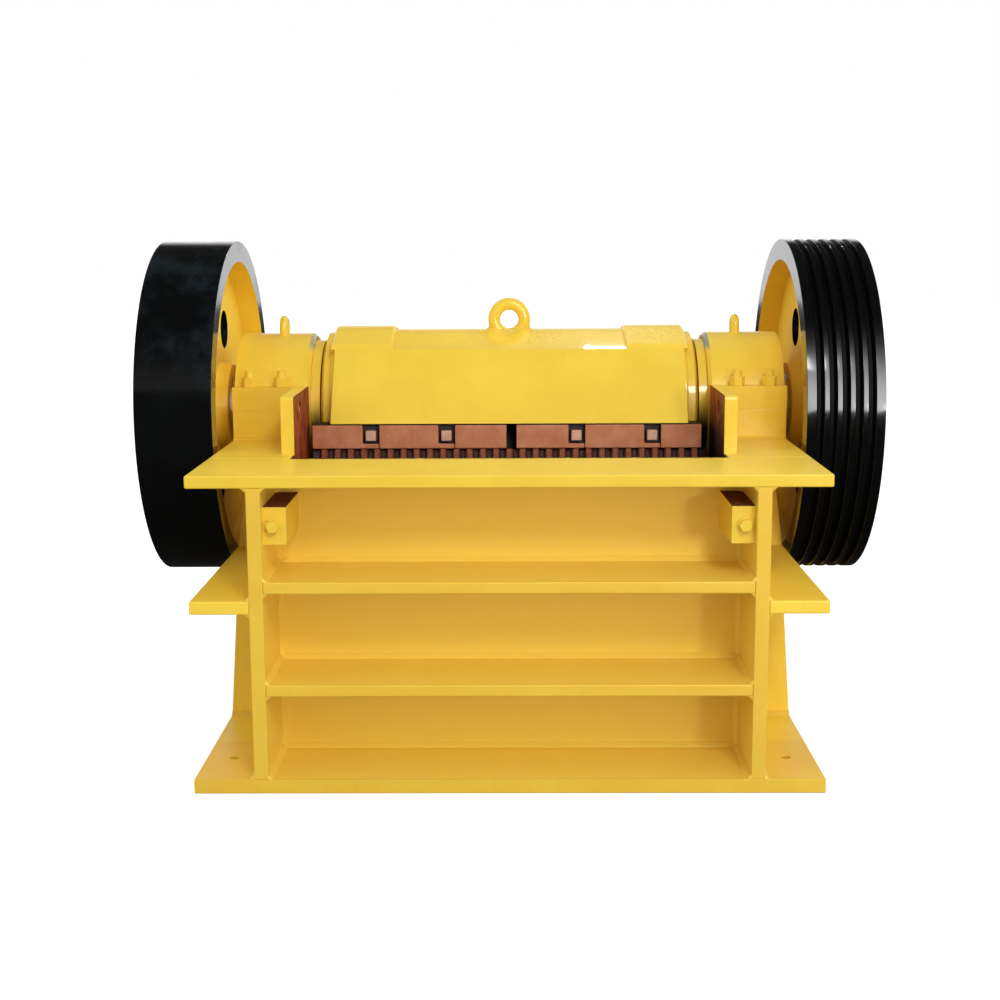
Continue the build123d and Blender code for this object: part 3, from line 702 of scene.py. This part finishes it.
def finishNodes():
    paints = {name: material for material, names in finishes.items() for name in names}
    for word in sides:
        for material, names in sidedFinishes.items():
            paints.update({word + "_" + name: material for name in names})
        paints[word + "_flywheel"] = wheelPaints[word]
    for name, material in paints.items():
        nodes[name].data.materials[0] = material
    for name, piece in nodes.items():
        plain = name.replace("left_", "").replace("right_", "")
        if plain != "tension_spring":  # a coil takes its place
            soften(piece, edgeWidth(plain), plain != "flywheel")  # the holed webs stay as they are


finishNodes()
print("CAD nodes finished")


# Tools that every added piece uses

def newest():
    return bpy.context.view_layer.objects.active


def enterEdit():
    bpy.ops.object.mode_set(mode="EDIT")
    bpy.ops.mesh.select_all(action="SELECT")


def leaveEdit():
    bpy.ops.object.mode_set(mode="OBJECT")


def selectOnly(*pieces):
    bpy.ops.object.select_all(action="DESELECT")
    for piece in pieces:
        piece.select_set(True)
    bpy.context.view_layer.objects.active = pieces[0]


def applyModifier(piece, kind, settings):
    made = piece.modifiers.new(kind.lower(), kind)
    for name, value in settings.items():
        setattr(made, name, value)
    selectOnly(piece)
    bpy.ops.object.modifier_apply(modifier=made.name)


def finishPiece(piece, name, material, body, angle):
    piece.name = name
    piece.data.materials.clear()
    piece.data.materials.append(material)
    selectOnly(piece)
    bpy.ops.object.transform_apply(location=True, rotation=True, scale=True)
    bpy.ops.object.shade_smooth_by_angle(angle=math.radians(angle))
    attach(piece, body)
    bpy.ops.object.select_all(action="DESELECT")


# Weld beads

weld = {
    "leg": 0.0135,
    "seatLeg": 0.007,  # the finer beads beside the bearing seats
    "cut": 0.88,  # how much of the stick's square corner the fillet takes away
    "steps": 6,
    "hollow": 0.22,
    "ripple": 0.005,
    "ripples": 8,
    "swell": 1.05,
    "sink": 0.08,  # share of a leg that lies inside the plates
    "mouth": 0.0012,  # how far a bead stops short of an open edge
    "lump": 0.001,
    "lumpSize": 0.03,
    "smoothAngle": 80.0,
}
eyeBead = {"legPlace": 0.05, "legRadius": 0.017, "thickness": 0.0055, "belowTop": 0.0125}
stickLength = weld["ripple"] * weld["ripples"]


def makeWeldStick():
    # one short stretch of rippled fillet along Z, with legs of length 1 along X and Y
    bpy.ops.mesh.primitive_plane_add(size=1.0, location=(0.5, 0.5, 0.0))
    stick = newest()
    bpy.ops.object.transform_apply(location=True, rotation=True, scale=True)
    enterEdit()
    bpy.ops.mesh.select_mode(type="VERT")
    bpy.ops.mesh.select_all(action="DESELECT")
    leaveEdit()
    for vertex in stick.data.vertices:
        vertex.select = vertex.co.x > 0.5 and vertex.co.y > 0.5
    bpy.ops.object.mode_set(mode="EDIT")
    bpy.ops.mesh.bevel(offset=weld["cut"], segments=weld["steps"], profile=weld["hollow"],
                       affect="VERTICES")
    bpy.ops.mesh.select_all(action="SELECT")
    move = {"value": (0, 0, weld["ripple"] / 2)}
    for number in range(weld["ripples"]):
        for grow in (weld["swell"], 1 / weld["swell"]):
            bpy.ops.mesh.extrude_region_move(TRANSFORM_OT_translate=move)
            bpy.ops.transform.resize(value=(grow, grow, 1), center_override=(0, 0, 0))
    leaveEdit()
    return stick


weldStick = makeWeldStick()


def weldRun(start, end, sideA, sideB, leg=weld["leg"]):
    # a fillet in the corner from start to end, between faces that run away along sideA and sideB
    start, end = Vector(start), Vector(end)
    if (end - start).cross(Vector(sideA)).dot(Vector(sideB)) < 0:
        start, end = end, start
    along = (end - start).normalized()
    length = (end - start).length
    count = max(1, round(length / stickLength))
    run = weldStick.copy()
    run.data = weldStick.data.copy()
    bpy.context.collection.objects.link(run)
    applyModifier(run, "ARRAY", {
        "count": count,
        "use_relative_offset": False,
        "use_constant_offset": True,
        "constant_offset_displace": (0, 0, stickLength),
        "use_merge_vertices": True,
    })
    enterEdit()
    bpy.ops.mesh.select_all(action="DESELECT")
    bpy.ops.mesh.select_non_manifold()
    bpy.ops.mesh.edge_face_add()
    leaveEdit()
    across = Vector(sideA).normalized()
    other = along.cross(across)
    corner = start - (across + other) * leg * weld["sink"]
    turn = Matrix((across, other, along)).transposed().to_4x4()
    scale = Matrix.Diagonal((leg, leg, length / (count * stickLength), 1))
    run.matrix_world = Matrix.Translation(corner) @ turn @ scale
    return run


def joinWelds(runs, name, body="frame"):
    selectOnly(*runs)
    bpy.ops.object.transform_apply(location=True, rotation=True, scale=True)
    bpy.ops.object.join()
    piece = newest()
    enterEdit()
    bpy.ops.mesh.normals_make_consistent(inside=False)
    leaveEdit()
    lumps = bpy.data.textures.new(name + "Lumps", "CLOUDS")
    lumps.noise_scale = weld["lumpSize"]
    settings = {"texture": lumps, "strength": weld["lump"], "mid_level": 0.5}
    applyModifier(piece, "DISPLACE", settings)
    finishPiece(piece, name, frontEnamel, body, weld["smoothAngle"])


def bayWelds(name, wallY, openY, bays):
    # beads round each bay between two ribs: on the wall, and where the ribs meet the side plates
    out = -1 if openY < wallY else 1
    mouth = openY - out * weld["mouth"]
    runs = []
    for floorZ, roofZ in bays:
        for z, up in ((floorZ, 1), (roofZ, -1)):
            ends = (-sideInner, wallY, z), (sideInner, wallY, z)
            runs.append(weldRun(*ends, (0, out, 0), (0, 0, up)))
            for side in sides.values():
                x = side * sideInner
                runs.append(weldRun((x, mouth, z), (x, wallY, z), (-side, 0, 0), (0, 0, up)))
        for side in sides.values():
            x = side * sideInner
            runs.append(weldRun((x, wallY, floorZ), (x, wallY, roofZ), (-side, 0, 0), (0, out, 0)))
    joinWelds(runs, name)


def frontWelds():
    low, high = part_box("lower_front_rib"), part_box("upper_front_rib")
    bays = [(baseTop, low[0].z), (low[1].z, high[0].z), (high[1].z, deckBottom)]
    bayWelds("front_bay_welds", wallFront, frontY, bays)


def rearWelds():
    low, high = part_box("lower_rear_rib"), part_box("upper_rear_rib")
    bays = [(baseTop, low[0].z), (low[1].z, high[0].z)]
    bayWelds("rear_bay_welds", rearWallBack, rearY, bays)


def flangeWelds(word, side):
    # beads along the outside of one side plate, and beside its bearing seat
    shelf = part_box(word + "_shelf_flange")
    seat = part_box(word + "_bearing_seat")
    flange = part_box(word + "_deck_flange")
    x, outer = side * sideOuter, side * reach(word + "_deck_flange")
    out = (side, 0, 0)
    front, rear = frontY + weld["mouth"], rearY - weld["mouth"]
    runs = []
    for z, up in ((baseTop, 1), (shelf[0].z, -1), (shelf[1].z, 1)):
        runs.append(weldRun((x, front, z), (x, rear, z), out, (0, 0, up)))
    for y0, y1 in ((front, seat[0].y), (seat[1].y, flange[1].y)):
        runs.append(weldRun((x, y0, deckBottom), (x, y1, deckBottom), out, (0, 0, -1)))
    for y, way in ((seat[0].y, -1), (seat[1].y, 1)):
        ends = (x, y, deckTop), (outer, y, deckTop)
        runs.append(weldRun(*ends, (0, way, 0), (0, 0, 1), weld["seatLeg"]))
    joinWelds(runs, word + "_flange_welds")


def gussetFaces(node, z):
    # the Y places of the faces of a node's plates that go well below z
    return sorted({round(v.co.y, 4) for v in nodes[node].data.vertices if v.co.z < z - weld["leg"]})


def gussetWelds(word, side):
    # beads up both faces of each lower gusset, and along its foot
    gussets = word + "_gussets"
    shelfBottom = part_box(word + "_shelf_flange")[0].z
    x, foot = side * sideOuter, side * reach(gussets)
    runs = []
    for number, y in enumerate(gussetFaces(gussets, shelfBottom)):
        way = (0, -1 if number % 2 == 0 else 1, 0)
        runs.append(weldRun((x, y, baseTop), (x, y, shelfBottom), (side, 0, 0), way))
        runs.append(weldRun((x, y, baseTop), (foot, y, baseTop), way, (0, 0, 1)))
    joinWelds(runs, word + "_gusset_welds")


def eyeWeld():
    # a bead round each leg of the swing jaw's lifting eye
    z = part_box("swing_jaw")[1].z - eyeBead["belowTop"]
    made = []
    for side in sides.values():
        bpy.ops.mesh.primitive_torus_add(major_radius=eyeBead["legRadius"], major_segments=36,
                                         minor_radius=eyeBead["thickness"], minor_segments=10,
                                         location=(side * eyeBead["legPlace"], shaftY, z))
        made.append(newest())
    joinWelds(made, "eye_welds", "swing_jaw")


frontWelds()
rearWelds()
for word, side in sides.items():
    flangeWelds(word, side)
    gussetWelds(word, side)
eyeWeld()
bpy.data.objects.remove(weldStick)
print("weld beads laid")


# Bolt heads in the recesses of the cheek plates

def makeCheekBolt(word, side):
    bpy.ops.mesh.primitive_cylinder_add(vertices=6, radius=cheekBolt["radius"],
                                        depth=cheekBolt["height"])
    piece = newest()
    enterEdit()
    bpy.ops.mesh.bevel(offset=cheekBolt["chamfer"], segments=2)
    leaveEdit()
    piece.rotation_euler = (cheekBolt["turn"], math.pi / 2, 0)
    piece.location = (side * (cheekInner + cheekBolt["standIn"]), boltY, boltZ)
    name = word + "_cheek_bolt"
    finishPiece(piece, name, boltSteel, "frame", cheekBolt["smoothAngle"])


for word, side in sides.items():
    makeCheekBolt(word, side)
print("cheek bolts set")


# Springs of the tension rods

spring = {"turns": 8, "wire": 0.007, "steps": 28, "sides": 12, "smoothAngle": 80.0}


def makeSpring(word):
    low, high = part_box(word + "_tension_spring")
    x, z = (low.x + high.x) / 2, (low.z + high.z) / 2
    coil = (high.x - low.x) / 2 - spring["wire"]
    length = high.y - low.y - 2 * spring["wire"]
    bpy.ops.mesh.primitive_circle_add(vertices=spring["sides"], radius=spring["wire"])
    piece = newest()
    piece.location = (coil, 0, 0)
    piece.rotation_euler = (math.pi / 2, 0, 0)
    bpy.ops.object.transform_apply(location=True, rotation=True, scale=True)
    steps = spring["steps"] * spring["turns"]
    applyModifier(piece, "SCREW", {
        "axis": "Z",
        "screw_offset": length,
        "angle": 2 * math.pi * spring["turns"],
        "steps": steps,
        "render_steps": steps,
        "use_merge_vertices": True,
    })
    enterEdit()
    bpy.ops.mesh.select_all(action="DESELECT")
    bpy.ops.mesh.select_non_manifold()
    bpy.ops.mesh.fill_holes(sides=0)
    bpy.ops.mesh.select_all(action="SELECT")
    bpy.ops.mesh.normals_make_consistent(inside=False)
    leaveEdit()
    piece.rotation_euler = (-math.pi / 2, 0, 0)
    piece.location = (x, low.y + spring["wire"], z)
    name = word + "_coil_spring"
    finishPiece(piece, name, springEnamel, "frame", spring["smoothAngle"])
    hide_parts(word + "_tension_spring")


for word in sides:
    makeSpring(word)
print("springs wound")


# Floor, light and camera

studio = {
    "floorSize": 60.0,
    "floorDrop": 0.0005,
    "floorColor": (0.40, 0.40, 0.40),
    "floorDark": (0.02, 0.02, 0.02),  # painted shade under the machine, and dark where it is mirrored
    "floorGlow": 0.80,
    "floorRoughness": 0.9,
    "sky": 0.48,
    "sideLight": 1.08,
    "backLight": 1.1,
    "softLight": 0.29,
    "softElevation": 10.0,
    "softRange": (0.5, 1.0),
    "frontGloss": 0.02,
    "backRange": (0.15, 0.6),
    "backTop": (0.2, 0.45),
    "bandGloss": 0.2,
    "bandFoot": (0.24, 0.3),
    "bandTop": (0.3, 0.7),
    "windowGloss": 11.0,
    "windowAzimuth": (6.0, 40.0),
    "windowBlur": 0.05,
    "windowFoot": (0.0, 0.03),
    "windowTop": (0.15, 0.98),
    "keyTarget": (0.0, -0.5, 0.8),
    "keyDistance": 7.0,
    # azimuth, elevation, power and size
    "keys": {"keyLamp": (26.0, 4.5, 53.0, 0.45), "highLamp": (15.0, 35.0, 142.0, 1.2)},
    "topPower": 10.0,
    "topSize": (0.24, 0.12),
    "topPlace": (0.53, 3.12, 3.76),
    "topTarget": (0.28, 0.08, 1.16),
}
camera = {
    "place": (0.017, -4.764, 1.4796),
    "lens": 55.42,
    "pitch": 9.69,
    "yaw": 0.566,
    "roll": -0.26,
    "farEnd": 200.0,
}


def makeFloor():
    place = (0, 0, -studio["floorDrop"])
    bpy.ops.mesh.primitive_plane_add(size=studio["floorSize"], location=place)
    floor = newest()
    floor.name = "floor"
    made = recipe("paleFloor")
    seen = made.node("ShaderNodeLightPath", output="Is Camera Ray")
    mirrored = made.node("ShaderNodeLightPath", output="Is Glossy Ray")
    x, y, z = made.axes()
    # painted shade: the floor is dark and does not glow under the machine
    under = (abs(x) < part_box("base_front")[1].x) * (abs(y) < rearY)
    dark = made.maths("MAXIMUM", mirrored, under)
    made.surface({
        "Base Color": made.mix(dark, studio["floorColor"], studio["floorDark"]),
        "Roughness": studio["floorRoughness"],
        "Specular IOR Level": 0.0,
        "Emission Color": (1.0, 1.0, 1.0),
        "Emission Strength": seen * (1 - under) * studio["floorGlow"],
    })
    floor.data.materials.append(made.owner)


def mirroredRoom(x, y, z):
    # bright behind the machine, with a faint band and a tall window in front of it
    back = y.rise(*studio["backRange"]) * (1 - z.rise(*studio["backTop"]))
    band = z.rise(*studio["bandFoot"]) * (1 - z.rise(*studio["bandTop"])) * (y < 0.0)
    left, right = [math.tan(math.radians(turn)) for turn in studio["windowAzimuth"]]
    blur = studio["windowBlur"]
    across = x / (0.0001 - y)  # the tangent of the azimuth, kept finite
    window = (y < 0.0) * across.rise(left, left + blur) * (1 - across.rise(right - blur, right))
    window = window * z.rise(*studio["windowFoot"]) * (1 - z.rise(*studio["windowTop"])) ** 2
    gloss = studio["frontGloss"] + back + band * studio["bandGloss"]
    return gloss + window * studio["windowGloss"]


def ambientRoom(x, y, z):
    # even light all round, with more from the sides and behind and a soft light in front
    tilt = math.radians(studio["softElevation"])
    ambient = studio["sky"] + x * x * studio["sideLight"] + y.rise(0.0, 1.0) * studio["backLight"]
    soft = (z * math.sin(tilt) - y * math.cos(tilt)).rise(*studio["softRange"])
    return ambient + soft * studio["softLight"]


def makeWorld():
    # a pale room: white where the camera sees it, dim in front of the machine
    world = bpy.data.worlds.new("paleRoom")
    bpy.context.scene.world = world
    made = Recipe(world)
    x, y, z = made.axes(made.node("ShaderNodeTexCoord", output="Generated"))
    seen = made.node("ShaderNodeLightPath", output="Is Camera Ray")
    mirrored = made.node("ShaderNodeLightPath", output="Is Glossy Ray")
    light = mirrored * mirroredRoom(x, y, z) + (1 - mirrored) * ambientRoom(x, y, z)
    inputs = {"Color": (1.0, 1.0, 1.0, 1.0), "Strength": seen + (1 - seen) * light}
    background = made.node("ShaderNodeBackground", None, inputs)
    made.node("ShaderNodeOutputWorld", None, {"Surface": background})


def makeLamp(name, place, target, power, size):
    data = bpy.data.lights.new(name, "AREA")
    data.energy = power
    data.shape = "RECTANGLE"
    data.size, data.size_y = size
    lamp = bpy.data.objects.new(name, data)
    bpy.context.collection.objects.link(lamp)
    lamp.location = place
    lamp.rotation_euler = (Vector(target) - Vector(place)).to_track_quat("-Z", "Y").to_euler()
    lamp.visible_camera = False


def makeLights():
    target = Vector(studio["keyTarget"])
    for name, (azimuth, elevation, power, size) in studio["keys"].items():
        turn, rise = math.radians(azimuth), math.radians(elevation)
        flat = math.cos(rise)
        toLamp = Vector((math.sin(turn) * flat, -math.cos(turn) * flat, math.sin(rise)))
        makeLamp(name, target + toLamp * studio["keyDistance"], target, power, (size, size))
    makeLamp("topLamp", studio["topPlace"], studio["topTarget"], studio["topPower"],
             studio["topSize"])


def makeCamera():
    data = bpy.data.cameras.new("camera")
    data.lens = camera["lens"]
    data.clip_end = camera["farEnd"]
    eye = bpy.data.objects.new("camera", data)
    bpy.context.collection.objects.link(eye)
    turned = Matrix.Rotation(math.radians(camera["yaw"]), 4, "Z")
    tipped = Matrix.Rotation(math.radians(90 - camera["pitch"]), 4, "X")
    rolled = Matrix.Rotation(math.radians(camera["roll"]), 4, "Z")
    eye.matrix_world = Matrix.Translation(camera["place"]) @ turned @ tipped @ rolled
    bpy.context.scene.camera = eye


makeFloor()
makeWorld()
makeLights()
makeCamera()
bpy.context.scene.view_settings.view_transform = "Standard"
print("stage set")
